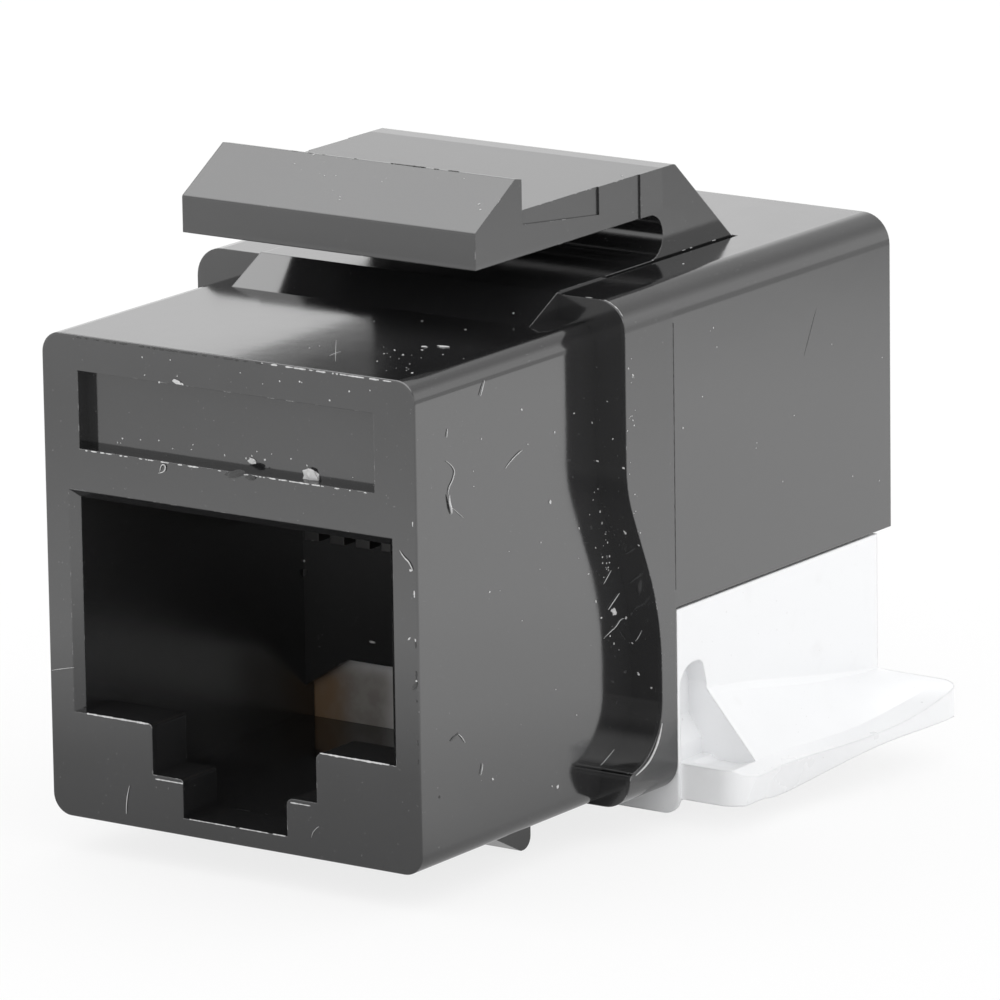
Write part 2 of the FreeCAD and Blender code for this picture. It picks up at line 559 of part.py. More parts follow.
# --------------------------------------------------------------- front housing
def front_housing():
    body = new_body("front_housing")
    half = D.body_width / 2
    flange_half = D.flange_width / 2

    shell = sketch_on(body, "body_outline", "XZ_Plane")
    box_outline(shell, -half, half, 0, D.body_height, D.body_radius)
    pad(body, shell, D.seam, flip=True)
    ease(body, "front_edge", D.front_radius, at_depth(0))

    flange = sketch_on(body, "flange_outline", "XZ_Plane", D.flange_front)
    box_outline(flange, -flange_half, flange_half, 0, D.deck_height, D.flange_radius)
    pad(body, flange, D.flange_thickness, flip=True)

    # The flange's side strips are scalloped back beside the body.
    deep = D.flange_front + D.scallop_depth
    scallop = sketch_on(body, "scallop", "YZ_Plane", half)
    outline(scallop, [
        (D.flange_front - OVER, D.scallop_foot / 2), (D.flange_front, D.scallop_foot / 2),
        (D.flange_front, D.scallop_foot, D.scallop_toe_radius),
        (deep, D.scallop_foot + D.scallop_rise, D.scallop_foot_radius),
        (deep, D.scallop_bend, D.scallop_lower_radius),
        (D.flange_front, D.scallop_top, D.scallop_upper_radius),
        (D.flange_front, D.deck_height), (D.flange_front - OVER, D.deck_height)])
    cut = pocket(body, scallop, D.flange_overhang + OVER, flip=True)
    mirror_x(body, [cut], "scallops")

    ramp = sketch_on(body, "ramp", "YZ_Plane")
    ramp_start = D.flange_front - D.ramp_run
    outline(ramp, [
        (ramp_start, D.body_height - SINK), (D.flange_front + SINK, D.body_height - SINK),
        (D.flange_front + SINK, D.tongue_top), (D.flange_front, D.tongue_top),
        (ramp_start, D.body_height)])
    pad(body, ramp, D.ramp_width, side="Symmetric")

    # Spigot that the rear cover slides over.
    spigot = sketch_on(body, "spigot", "XZ_Plane", D.seam - SINK)
    box_outline(spigot, -D.spigot_width / 2, D.spigot_width / 2, D.spigot_bottom, D.tongue_under)
    pad(body, spigot, D.spigot_reach + SINK, flip=True)

    # Tongue, root and forward-reaching spring arm with its hook.
    arm = sketch_on(body, "latch_side", "YZ_Plane")
    slot_radius = (D.arm_under - D.tongue_top) * 0.49
    outline(arm, [
        (D.flange_front + SINK, D.tongue_under), (D.tongue_end, D.tongue_under),
        (D.tongue_end, D.deck_height), (D.slant_top, D.arm_top, D.slant_radius),
        (D.catch_depth, D.arm_top), (D.catch_depth, D.crest_height - D.crest_fall),
        (D.catch_depth - D.crest_set, D.crest_height, D.crest_radius),
        (D.hook_front, D.arm_under + D.nose_height, D.nose_radius),
        (D.hook_front, D.arm_under), (D.slot_back, D.arm_under, slot_radius),
        (D.slot_back, D.tongue_top, slot_radius), (D.flange_front + SINK, D.tongue_top)])
    pad(body, arm, D.latch_width, side="Symmetric")

    # The arm is a little narrower than its root, with a sunk panel in each side.
    root = sketch_on(body, "arm_side", "YZ_Plane", D.latch_width / 2)
    box_outline(root, D.hook_front - OVER, D.slant_top - D.arm_step_set,
                D.tongue_top + D.arm_gap / 2, D.crest_height + OVER)
    side = pocket(body, root, D.root_step)
    panel = sketch_on(body, "arm_panel", "YZ_Plane", D.latch_width / 2)
    panel_front = D.catch_depth + D.panel_depth
    panel_rear = D.catch_depth + D.panel_reach
    outline(panel, [
        (panel_front, D.arm_top - D.panel_low_front), (panel_rear, D.arm_top - D.panel_low_rear),
        (panel_rear, D.arm_top + SINK), (panel_front, D.arm_top + SINK)])
    sunk = pocket(body, panel, D.root_step + D.panel_depth)
    mirror_x(body, [side, sunk], "arm_sides")

    # Fixed lug under the body, with the same catch depth.
    lug = sketch_on(body, "lug", "YZ_Plane")
    lug_start = D.catch_depth - D.lug_run
    outline(lug, [
        (lug_start, SINK), (lug_start, 0), (D.catch_depth - D.lug_toe, -D.lug_drop, D.lug_radius / 2),
        (D.catch_depth, -D.lug_drop, D.lug_radius), (D.catch_depth, SINK)])
    pad(body, lug, D.latch_width - D.root_step * 2, side="Symmetric")

    # Plug port: stepped front wall, wider cavity behind it.
    port, notch, slit = D.port_width / 2, D.notch_width / 2, D.slit_width / 2
    mouth = sketch_on(body, "port_mouth", "XZ_Plane")
    outline(mouth, [
        (-slit, D.slit_floor), (slit, D.slit_floor), (slit, D.notch_floor, D.step_radius),
        (notch, D.notch_floor), (notch, D.port_floor, D.step_radius), (port, D.port_floor),
        (port, D.port_ceiling), (-port, D.port_ceiling), (-port, D.port_floor),
        (-notch, D.port_floor, D.step_radius / 2), (-notch, D.notch_floor),
        (-slit, D.notch_floor, D.step_radius / 2)])
    pocket(body, mouth, D.lip_depth + SINK)
    cavity = sketch_on(body, "port_cavity", "XZ_Plane", D.lip_depth)
    box_outline(cavity, -port, port, D.cavity_floor, D.port_ceiling)
    pocket(body, cavity, D.cavity_depth - D.lip_depth)
    well = sketch_on(body, "contact_well", "XZ_Plane", D.lip_depth)
    box_outline(well, -D.well_width / 2, D.well_width / 2, D.gate_bottom, D.well_top)
    pocket(body, well, D.spigot_end - D.lip_depth + OVER)
    window = sketch_on(body, "back_window", "XZ_Plane", D.cavity_depth - SINK)
    outline(window, [
        (-port, D.cavity_floor), (port, D.cavity_floor),
        (port, D.window_top - D.window_cut_z), (port - D.window_cut_x, D.window_top),
        (-port + D.window_cut_x, D.window_top), (-port, D.window_top - D.window_cut_z)])
    pocket(body, window, D.back_wall + SINK + OVER)
    bay = sketch_on(body, "spigot_bay", "XZ_Plane", D.seam)
    box_outline(bay, -D.spigot_inner / 2, D.spigot_inner / 2, D.spigot_bottom - OVER,
                D.tongue_under - D.spigot_roof)
    pocket(body, bay, D.spigot_reach + OVER)

    label = sketch_on(body, "label_recess", "XZ_Plane")
    box_outline(label, -D.label_left, D.label_right, D.label_bottom, D.label_top)
    pocket(body, label, D.label_depth)

    # Bevel round the upper part of the mouth.
    front_face = at_depth(0)
    top = (GROUND + D.port_ceiling).value

    def mouth_rim(edge):
        box, (dx, dy, dz) = edge.BoundBox, spread(edge)
        across = near(box.ZMin, top) and near(dz, 0)
        upright = near(abs(box.XMin), port.value) and near(dx, 0) and near(box.ZMax, top)
        return front_face(edge) and (across or upright)
    ease(body, "mouth_bevels", D.mouth_bevel, mouth_rim, kind="Chamfer")
    return body


# ------------------------------------------------------------------ rear cover
def rear_cover():
    body = new_body("rear_cover")
    half = D.cover_width / 2
    hull = sketch_on(body, "cover_outline", "XZ_Plane", D.seam)
    outline(hull, [(-half, D.cover_bottom), (half, D.cover_bottom),
                   (half, D.deck_height, D.flange_radius),
                   (-half, D.deck_height, D.flange_radius)])
    pad(body, hull, D.cover_rear - D.seam, flip=True)

    hollow = sketch_on(body, "cover_hollow", "XZ_Plane", D.seam)
    inner = D.cover_inner / 2
    box_outline(hollow, -inner, inner, D.cover_bottom - OVER, D.roof_under)
    pocket(body, hollow, D.cover_rear - D.seam - D.cover_wall)

    notch = sketch_on(body, "tongue_notch", "XY_Plane", D.deck_height + OVER)
    side = D.latch_width / 2 + D.tongue_gap
    box_outline(notch, -side, side, D.seam - OVER, D.tongue_end + D.tongue_gap)
    pocket(body, notch, D.cover_roof + OVER * 2)

    # Nibs that carry the connector block, posts that hold the board down.
    shelf = D.block_under
    nibs = []
    for name, depth in (("nib", D.slot_first), ("nib_rear", D.slot_first + D.slot_pitch * 2.5)):
        nib = sketch_on(body, name, "XZ_Plane", depth)
        outline(nib, [(inner + SINK, shelf - D.nib_height - D.nib_reach), (inner + SINK, shelf),
                      (inner - D.nib_reach, shelf), (inner - D.nib_reach, shelf - D.nib_height),
                      (inner, shelf - D.nib_height - D.nib_reach)])
        nibs.append(pad(body, nib, D.nib_length, flip=True))
    mirror_x(body, nibs, "nibs")

    post = sketch_on(body, "post", "XY_Plane", D.roof_under + SINK)
    circle(post, D.board_width / 2 - D.post_side, D.board_rear - D.post_set, D.post_radius)
    pillar = pad(body, post, D.roof_under + SINK - D.board_top, flip=True)
    mirror_x(body, [pillar], "posts")
    return body


# -------------------------------------------------------------- contact carrier
def contact_carrier():
    body = new_body("contact_carrier")
    side = sketch_on(body, "carrier_side", "YZ_Plane")
    outline(side, [
        (D.plate_nose, D.plate_under, D.plate_radius), (D.comb_front, D.plate_under),
        (D.comb_front, D.comb_under), (D.seam, D.comb_under),
        (D.seam, D.plate_top), (D.plate_nose, D.plate_top, D.plate_radius)])
    pad(body, side, D.plate_width, side="Symmetric")
    heel = sketch_on(body, "carrier_heel", "YZ_Plane")
    box_outline(heel, D.seam, D.heel_rear, D.heel_under, D.groove_floor)
    pad(body, heel, D.heel_width, side="Symmetric")

    # One groove and one comb slot for each contact.
    left, right = contact_place(1) - D.groove_width / 2, contact_place(1) + D.groove_width / 2
    groove = sketch_on(body, "wire_groove", "XZ_Plane", D.plate_nose - OVER)
    box_outline(groove, left, right, D.groove_floor, D.plate_top + OVER)
    upper = pocket(body, groove, D.seam - D.plate_nose + OVER * 2)
    comb = sketch_on(body, "comb_slot", "XZ_Plane", D.comb_front - OVER)
    box_outline(comb, left, right, D.comb_under - OVER, D.plate_under)
    lower = pocket(body, comb, D.comb_length - D.comb_back + OVER)
    row_of(body, [upper, lower], "wire_rows", "X_Axis", D.contact_pitch, CONTACTS)
    return body


# -------------------------------------------------------------------- contacts
def contact_place(number):
    """Contact's distance from the middle of the jack."""
    return D.contact_pitch * (number - (CONTACTS + 1) / 2)


def contact(number):
    """Bent spring contact: tail, upper run, front bend, sloping free arm."""
    body = new_body("contact_%d" % number)
    x = contact_place(number)
    tail = D.tail_front if number % 2 else D.tail_rear
    bend = D.plate_nose - D.bend_reach
    path = sketch_on(body, "path_%d" % number, "YZ_Plane", x)
    outline(path, [
        (tail, D.tail_top), (tail, D.contact_run, D.tail_radius),
        (bend, D.contact_run, D.bend_radius), (bend, D.contact_turn, D.bend_radius),
        (D.comb_front + D.tip_reach, D.comb_under + D.tip_height)], closed=False)
    section = sketch_on(body, "section_%d" % number, "XY_Plane", D.tail_top)
    half = D.contact_thick / 2
    box_outline(section, x - half, x + half, tail - half, tail + half)
    strip = body.newObject("PartDesign::AdditivePipe", "strip_%d" % number)
    strip.Profile = section
    strip.Spine = (path, [])
    return body


# --------------------------------------------------------------- circuit board
def circuit_board():
    body = new_body("circuit_board")
    board = sketch_on(body, "board_outline", "XY_Plane", D.board_under)
    wide, neck = D.board_width / 2, D.board_neck / 2
    outline(board, [
        (-neck, D.board_front), (neck, D.board_front), (neck, D.board_shoulder),
        (wide, D.board_shoulder), (wide, D.board_rear), (-wide, D.board_rear),
        (-wide, D.board_shoulder), (-neck, D.board_shoulder)])
    pad(body, board, D.board_thickness)
    holes = []
    for number, depth in ((1, D.tail_front), (2, D.tail_rear)):
        sketch = sketch_on(body, "tail_hole_%d" % number, "XY_Plane", D.board_top)
        circle(sketch, contact_place(number), depth, D.tail_hole)
        holes.append(pocket(body, sketch, D.board_thickness + OVER))
    row_of(body, holes, "tail_holes", "X_Axis", D.contact_pitch * 2, CONTACTS // 2)
    sketch = sketch_on(body, "blade_holes", "XY_Plane", D.board_top)
    for side in (-1, 1):
        for k in range(SLOTS):
            circle(sketch, D.blade_centre * side, D.slot_first + D.slot_pitch * k, D.blade_hole)
    pocket(body, sketch, D.board_thickness + OVER)
    return body


# ------------------------------------------------------------- connector block
def connector_block():
    body = new_body("connector_block")
    plate = sketch_on(body, "block_plate_outline", "XY_Plane", D.board_under)
    box_outline(plate, -D.block_width / 2, D.block_width / 2, D.block_front, D.board_rear)
    pad(body, plate, D.block_plate, flip=True)
    towers = sketch_on(body, "towers", "XY_Plane", D.tower_tip)
    for inner, outer in ((D.tower_inner, D.tower_outer), (-D.tower_outer, -D.tower_inner)):
        box_outline(towers, inner, outer, D.block_front, D.tower_rear)
    pad(body, towers, D.block_under - D.tower_tip + SINK)

    slot = sketch_on(body, "wire_slot", "YZ_Plane")
    half = D.wire_slot_width / 2
    front, rear = D.slot_first - half, D.slot_first + half
    flare = D.tower_tip + D.flare_height
    outline(slot, [
        (front - D.slot_flare, D.tower_tip), (rear + D.slot_flare, D.tower_tip), (rear, flare),
        (rear, D.wire_slot_top), (front, D.wire_slot_top), (front, flare)])
    wire = pocket(body, slot, D.tower_outer * 2 + OVER, side="Symmetric")
    seat = sketch_on(body, "blade_seats", "XY_Plane", D.board_under)
    wide = D.blade_width / 2 + D.blade_clear
    thin = D.blade_thick / 2 + D.blade_clear
    for x in (-D.blade_centre, D.blade_centre):
        box_outline(seat, x - thin, x + thin, D.slot_first - wide, D.slot_first + wide)
    blade = pocket(body, seat, D.board_under - D.tower_tip + OVER)
    row_of(body, [wire, blade], "slots", "Y_Axis", D.slot_pitch, SLOTS)
    return body


def connector_blade(number):
    """Forked sheet-metal blade with a tail up through the board."""
    body = new_body("connector_blade_%d" % number)
    side = -1 if number <= SLOTS else 1
    depth = D.slot_first + D.slot_pitch * ((number - 1) % SLOTS)
    half, slit, tail = D.blade_width / 2, D.blade_slit / 2, D.blade_tail_width / 2
    mouth = slit + D.blade_mouth
    shape = sketch_on(body, "blade_%d" % number, "YZ_Plane", D.blade_centre * side)
    tip, fork = D.blade_tip, D.blade_tip + D.mouth_rise
    closed = D.wire_slot_top - D.blade_root
    shoulder = D.board_under - D.blade_top_gap
    outline(shape, [
        (depth - half, tip), (depth - mouth, tip), (depth - slit, fork), (depth - slit, closed),
        (depth + slit, closed), (depth + slit, fork), (depth + mouth, tip), (depth + half, tip),
        (depth + half, shoulder), (depth + tail, shoulder), (depth + tail, D.tail_top),
        (depth - tail, D.tail_top), (depth - tail, shoulder), (depth - half, shoulder)])
    pad(body, shape, D.blade_thick, side="Symmetric")
    return body


# -------------------------------------------------------------------- wire cap
def wire_cap():
    body = new_body("wire_cap")
    half = D.cap_width / 2
    core = half - D.core_step

    walls = sketch_on(body, "cap_walls", "XY_Plane", D.cap_wall_bottom)
    box_outline(walls, -half, half, D.cap_front, D.cap_rear)
    pad(body, walls, D.cap_top - D.cap_wall_bottom)
    floor = sketch_on(body, "cap_core", "XZ_Plane", D.cap_front)
    outline(floor, [
        (-core, D.core_bottom, D.core_radius), (core, D.core_bottom, D.core_radius),
        (core, D.cap_wall_bottom + SINK), (-core, D.cap_wall_bottom + SINK)])
    pad(body, floor, D.cap_rear - D.core_inset - D.cap_front, flip=True)
    front = sketch_on(body, "cap_front_plate", "XZ_Plane", D.cap_front)
    outline(front, [
        (-half, D.core_bottom, D.plate_corner), (half, D.core_bottom, D.plate_corner),
        (half, D.cap_top), (-half, D.cap_top)])
    pad(body, front, D.plate_front, flip=True)

    # Grip wings: the wall flares out in front and turns to a ledge at the rear.
    root = core - SINK * 3
    sections = []
    for key, depth in (("a", D.thumb_rear), ("b", D.thumb_rear + D.wing_b_run),
                       ("c", D.thumb_rear + D.wing_c_run), ("d", D.thumb_rear + D.wing_d_run),
                       ("e", D.cap_rear)):
        field = {name: getattr(D, "wing_%s_%s" % (key, name)) for name in WING_FIELDS}
        sketch = sketch_on(body, "wing_" + key, "XZ_Plane", depth)
        outline(sketch, [
            (root, field["foot_z"]), (half + field["foot_out"], field["foot_z"]),
            (half + field["edge_out"], field["edge_z"]),
            (half + field["shelf_out"], field["shelf_z"]),
            (half + field["crease_out"], field["crease_z"]),
            (half - SINK / 2, field["rise"]), (root, field["rise"])])
        sections.append(sketch)
    wing = body.newObject("PartDesign::AdditiveLoft", "wing")
    wing.Profile = sections[0]
    wing.Sections = sections[1:]
    wing.Ruled = False

    # The brim carries the wing's lower edge on past the thumb notch.
    brim = sketch_on(body, "brim", "XZ_Plane", D.thumb_front)
    outline(brim, [
        (root, D.wing_a_foot_z), (half + D.wing_a_foot_out, D.wing_a_foot_z),
        (half + D.wing_a_edge_out, D.wing_a_edge_z),
        (half + D.wing_a_shelf_out, D.wing_a_shelf_z),
        (root, D.wing_a_shelf_z)])
    ledge = pad(body, brim, D.thumb_rear - D.thumb_front, flip=True)
    corners = []
    for name, out, tip, edge, inward in (
            ("brim_corner", D.wing_a_edge_out, D.thumb_front, D.brim_radius, 1),
            ("wing_corner", D.wing_d_edge_out, D.cap_rear, D.wing_radius, -1)):
        far = half + out
        near_end, past_end = tip + (edge + SINK) * inward, tip - OVER * inward
        sketch = sketch_on(body, name, "XY_Plane", D.core_bottom)
        outline(sketch, [
            (far - edge - SINK, tip), (far, tip, edge), (far, near_end),
            (far + OVER, near_end), (far + OVER, past_end), (far - edge - SINK, past_end)])
        corners.append(pocket(body, sketch, D.thumb_top - D.core_bottom, flip=True))
    mirror_x(body, [wing, ledge] + corners, "wings")

    # Thumb notch behind the front plate, and the hollow in the brim below it.
    wall_high, wall_low = half - D.thumb_deep, half - D.thumb_shallow
    arch = sketch_on(body, "thumb_notch", "YZ_Plane", wall_high)
    outline(arch, [
        (D.thumb_front, D.thumb_step), (D.thumb_rear, D.thumb_step),
        (D.thumb_rear, D.thumb_top - D.thumb_fall),
        (D.thumb_rear - D.thumb_lean, D.thumb_top, D.thumb_rear_radius),
        (D.thumb_front, D.thumb_top, D.thumb_front_radius)])
    high = pocket(body, arch, D.thumb_deep + OVER, flip=True)
    low_side = sketch_on(body, "thumb_notch_low", "XZ_Plane", D.thumb_front)
    outline(low_side, [
        (wall_low, D.wing_a_shelf_z), (half + D.wing_a_edge_out, D.wing_a_shelf_z),
        (half + D.wing_a_edge_out, D.thumb_step), (wall_high, D.thumb_step),
        (wall_low, D.thumb_slope)])
    low = pocket(body, low_side, D.thumb_rear - D.thumb_front)
    hollow = sketch_on(body, "brim_hollow", "XZ_Plane", D.thumb_front + D.brim_rim)
    shelf = half + D.wing_a_shelf_out
    outline(hollow, [
        (wall_low + D.dish_heel, D.dish_floor, D.dish_radius),
        (shelf - D.dish_toe, D.dish_floor, D.dish_radius), (shelf, D.wing_a_shelf_z),
        (wall_low, D.thumb_slope)])
    dish = pocket(body, hollow, D.thumb_length - D.plate_front - D.brim_rim)
    mirror_x(body, [high, low, dish], "thumb_notches")

    bay = sketch_on(body, "cap_bay", "XY_Plane", D.cap_top)
    box_outline(bay, -D.bay_width / 2, D.bay_width / 2, D.bay_front, D.bay_rear)
    pocket(body, bay, D.cap_top - D.bay_floor)

    # Ribs that press the wires home between the towers' walls.
    ribs = sketch_on(body, "pressers", "XY_Plane", D.bay_floor - SINK)
    rib = D.wire_slot_width / 2 - D.press_clear
    inner = D.blade_centre + D.blade_thick / 2 + D.press_gap
    outer = D.tower_outer - D.press_inset
    for left, right in ((inner, outer), (-outer, -inner)):
        box_outline(ribs, left, right, D.slot_first - rib, D.slot_first + rib)
    press = pad(body, ribs, D.press_top - D.bay_floor + SINK)
    row_of(body, [press], "presser_row", "Y_Axis", D.slot_pitch, SLOTS)

    under = sketch_on(body, "cap_underside", "XY_Plane", D.core_bottom)
    box_outline(under, -D.recess_width / 2, D.recess_width / 2, D.bay_front + D.recess_margin,
                D.bay_rear - D.recess_margin, D.recess_radius)
    pocket(body, under, D.recess_depth, flip=True)
    return body


# ----------------------------------------------------------------------- build
bodies = [front_housing(), rear_cover(), contact_carrier()]
bodies += [contact(n) for n in range(1, CONTACTS + 1)]
bodies += [circuit_board(), connector_block()]
bodies += [connector_blade(n) for n in range(1, SLOTS * 2 + 1)]
bodies += [wire_cap()]
doc.recompute()

# ---------------------------------------------------------------------- export
faulty = [item.Label for item in doc.Objects
          if "Invalid" in item.State or "Error" in item.State]
if faulty:
    raise RuntimeError("does not rebuild: " + ", ".join(faulty))
os.makedirs("parts", exist_ok=True)
for body in bodies:
    if body.Shape.isNull() or not body.Shape.isValid() or len(body.Shape.Solids) != 1:
        raise RuntimeError("%s is not one sound solid" % body.Label)
    body.Shape.exportStep("parts/%s.step" % body.Label)
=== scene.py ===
import math
import random

import bmesh
import bpy
from mathutils import Matrix, Vector


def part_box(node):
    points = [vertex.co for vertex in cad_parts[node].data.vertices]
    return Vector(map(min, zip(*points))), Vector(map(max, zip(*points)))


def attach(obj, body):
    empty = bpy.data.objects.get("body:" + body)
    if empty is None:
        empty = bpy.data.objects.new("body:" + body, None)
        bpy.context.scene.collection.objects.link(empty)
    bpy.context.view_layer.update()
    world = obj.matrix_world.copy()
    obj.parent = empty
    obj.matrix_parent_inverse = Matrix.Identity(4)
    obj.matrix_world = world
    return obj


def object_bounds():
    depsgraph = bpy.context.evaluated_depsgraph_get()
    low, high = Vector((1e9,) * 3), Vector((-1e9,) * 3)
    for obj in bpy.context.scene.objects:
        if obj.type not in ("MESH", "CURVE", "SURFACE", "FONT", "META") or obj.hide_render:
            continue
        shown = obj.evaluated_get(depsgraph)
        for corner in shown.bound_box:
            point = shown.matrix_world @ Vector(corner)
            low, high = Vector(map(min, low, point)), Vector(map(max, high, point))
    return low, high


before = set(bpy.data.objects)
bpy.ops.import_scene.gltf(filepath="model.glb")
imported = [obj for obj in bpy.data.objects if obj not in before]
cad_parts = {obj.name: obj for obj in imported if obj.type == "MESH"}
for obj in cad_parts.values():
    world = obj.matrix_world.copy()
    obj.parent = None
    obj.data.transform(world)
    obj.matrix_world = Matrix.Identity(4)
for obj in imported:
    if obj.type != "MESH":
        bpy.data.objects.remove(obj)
cad_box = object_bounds()

MM = 0.001
CONTACTS = 8
# The jack stands on the lug under its body, which drops this many millimetres.
LUG_DROP = 1.18
# The front face and the body's underside, which every place below is measured from.
FRONT_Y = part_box("front_housing")[0][1]
UNDER_Z = LUG_DROP * MM


def at(x, depth, height):
    """Millimetres from the front face and the body's underside, as a point of the frame."""
    return Vector((x * MM, FRONT_Y + depth * MM, UNDER_Z + height * MM))


# ---------------------------------------------------------------- node helpers
# The Mix node's sockets by data type: its two inputs and its output.
MIX_SOCKETS = {"VECTOR": (4, 5, 1), "RGBA": (6, 7, 2)}
# The range that noise seldom leaves.
NOISE_RANGE = (0.3, 0.7)
# How worn and glinting edges are found: samples for the eased normal and for the open sky around a
# point, the share of sky that an inner corner stays below and an outer edge goes above, and the turn
# of the normal (as a cosine) where wear begins and where it is full. Beside a flush seam, the easing
# and the wear come back over FLUSH_SOFT millimetres.
BEVEL_SAMPLES = 6
SKY_SAMPLES = 4
OPEN_SKY = (0.8, 0.95)
EDGE_TURN = (0.985, 0.9)
FLUSH_SOFT = 0.05


def new_material(name):
    material = bpy.data.materials.new(name)
    material.use_nodes = True
    tree = material.node_tree
    return material, tree, tree.nodes["Principled BSDF"]


def feed(tree, socket, value):
    """Link a socket's value to an input, or set the input to a plain value."""
    if isinstance(value, bpy.types.NodeSocket):
        tree.links.new(value, socket)
    else:
        socket.default_value = value


def node(tree, kind, **inputs):
    """A node with its inputs fed. An input's name has _ for each space."""
    made = tree.nodes.new(kind)
    for key, value in inputs.items():
        feed(tree, made.inputs[key.replace("_", " ")], value)
    return made


def maths(tree, operation, *values):
    made = tree.nodes.new("ShaderNodeMath")
    made.operation = operation
    for socket, value in zip(made.inputs, values):
        feed(tree, socket, value)
    return made.outputs[0]


def vector_maths(tree, operation, *values):
    """The single number that an operation such as LENGTH or DOT_PRODUCT gives."""
    made = tree.nodes.new("ShaderNodeVectorMath")
    made.operation = operation
    for socket, value in zip(made.inputs, values):
        feed(tree, socket, value)
    return made.outputs["Value"]


def either(tree, *masks):
    whole = masks[0]
    for mask in masks[1:]:
        whole = maths(tree, "MAXIMUM", whole, mask)
    return whole


def blend(tree, factor, first, second, kind="RGBA"):
    """The first colour or vector, turning into the second as the factor goes from 0 to 1."""
    made = tree.nodes.new("ShaderNodeMix")
    made.data_type = kind
    first_input, second_input, result = MIX_SOCKETS[kind]
    feed(tree, made.inputs[0], factor)
    feed(tree, made.inputs[first_input], first)
    feed(tree, made.inputs[second_input], second)
    return made.outputs[result]


def remap(tree, value, low, high, to_low=0.0, to_high=1.0):
    """A smooth step from one level to another as a value goes from low to high."""
    made = tree.nodes.new("ShaderNodeMapRange")
    made.interpolation_type = "SMOOTHSTEP"
    feed(tree, made.inputs["Value"], value)
    for key, number in (("From Min", low), ("From Max", high), ("To Min", to_low), ("To Max", to_high)):
        feed(tree, made.inputs[key], number)
    return made.outputs["Result"]


def place_on_piece(tree):
    """The point on the piece, in metres."""
    return tree.nodes.new("ShaderNodeTexCoord").outputs["Object"]


def stretched(tree, stretch=(1, 1, 1)):
    """The point on the piece, in metres, stretched along its axes."""
    return node(tree, "ShaderNodeMapping", Vector=place_on_piece(tree), Scale=stretch).outputs["Vector"]


def noise(tree, grain, detail=2.0, stretch=(1, 1, 1)):
    """Noise with a grain of so many millimetres."""
    made = node(tree, "ShaderNodeTexNoise", Scale=1 / (grain * MM), Detail=detail)
    tree.links.new(stretched(tree, stretch), made.inputs["Vector"])
    return made.outputs["Fac"]


def patches(tree, grain, detail, low, high):
    """A mask of the places where noise goes over a level, between low and high."""
    return remap(tree, noise(tree, grain, detail), low, high)


def vary(tree, cloud, low, high):
    """A value that goes from low to high as noise goes through its usual range."""
    return remap(tree, cloud, *NOISE_RANGE, low, high)


def waves(tree, grain, distortion, along="X"):
    """Wandering bands, about a third of the grain apart."""
    made = tree.nodes.new("ShaderNodeTexWave")
    made.bands_direction = along
    feed(tree, made.inputs["Vector"], stretched(tree))
    feed(tree, made.inputs["Scale"], 1 / (grain * MM))
    feed(tree, made.inputs["Distortion"], distortion)
    return made.outputs["Fac"]


def inside(tree, low, high, soft=0.15):
    """A mask of a block between two corners, in the millimetres of at(), with soft sides."""
    place = node(tree, "ShaderNodeSeparateXYZ", Vector=place_on_piece(tree))
    mask = 1.0
    for axis, first, last in zip("XYZ", at(*low), at(*high)):
        middle = (first + last) / 2
        half = (last - first) / 2
        off = maths(tree, "ABSOLUTE", maths(tree, "SUBTRACT", place.outputs[axis], middle))
        mask = maths(tree, "MULTIPLY", mask, remap(tree, off, half, half + soft * MM, 1.0, 0.0))
    return mask


def grey(level, tint=(1, 1, 1)):
    return (level * tint[0], level * tint[1], level * tint[2], 1)


def scaled(colour, share):
    return tuple(share * part for part in colour) + (1,)


def worn_and_glinting_edges(tree, radius, flush=None):
    """The normal with its outer edges eased by a radius, and a mask of those edges.

    Edges in the flush block, if there is one, stay sharp and unworn.
    """
    bevel = node(tree, "ShaderNodeBevel", Radius=radius * MM)
    bevel.samples = BEVEL_SAMPLES
    eased = bevel.outputs["Normal"]
    flat = tree.nodes.new("ShaderNodeNewGeometry").outputs["Normal"]
    sky = node(tree, "ShaderNodeAmbientOcclusion", Distance=2 * radius * MM)
    sky.samples = SKY_SAMPLES
    sky.only_local = True
    outer = remap(tree, sky.outputs["AO"], *OPEN_SKY)
    if flush:
        loose = maths(tree, "SUBTRACT", 1.0, inside(tree, *flush, FLUSH_SOFT))
        outer = maths(tree, "MULTIPLY", outer, loose)
    edge = remap(tree, vector_maths(tree, "DOT_PRODUCT", eased, flat), *EDGE_TURN)
    return blend(tree, outer, flat, eased, "VECTOR"), maths(tree, "MULTIPLY", edge, outer)


def relief(tree, normal, *layers):
    """Bump layers of (height, depth in millimetres) laid over a normal, or over none."""
    for height, depth in layers:
        bump = node(tree, "ShaderNodeBump", Strength=1.0, Distance=depth * MM, Height=height)
        if normal is not None:
            tree.links.new(normal, bump.inputs["Normal"])
        normal = bump.outputs["Normal"]
    return normal


# ------------------------------------------------------------------- materials
# Radii in millimetres that edges are eased by, in black plastic, white plastic and sheet metal.
BLACK_EDGE = 0.05
WHITE_EDGE = 0.1
METAL_EDGE = 0.03

# Where the rear cover meets the flange: the two are flush, so the edges there stay sharp.
SEAM_DEPTH = 12.66
SEAM_HALF = 0.05
SEAM = ((-9.0, SEAM_DEPTH - SEAM_HALF, -1.0), (9.0, SEAM_DEPTH + SEAM_HALF, 17.0))

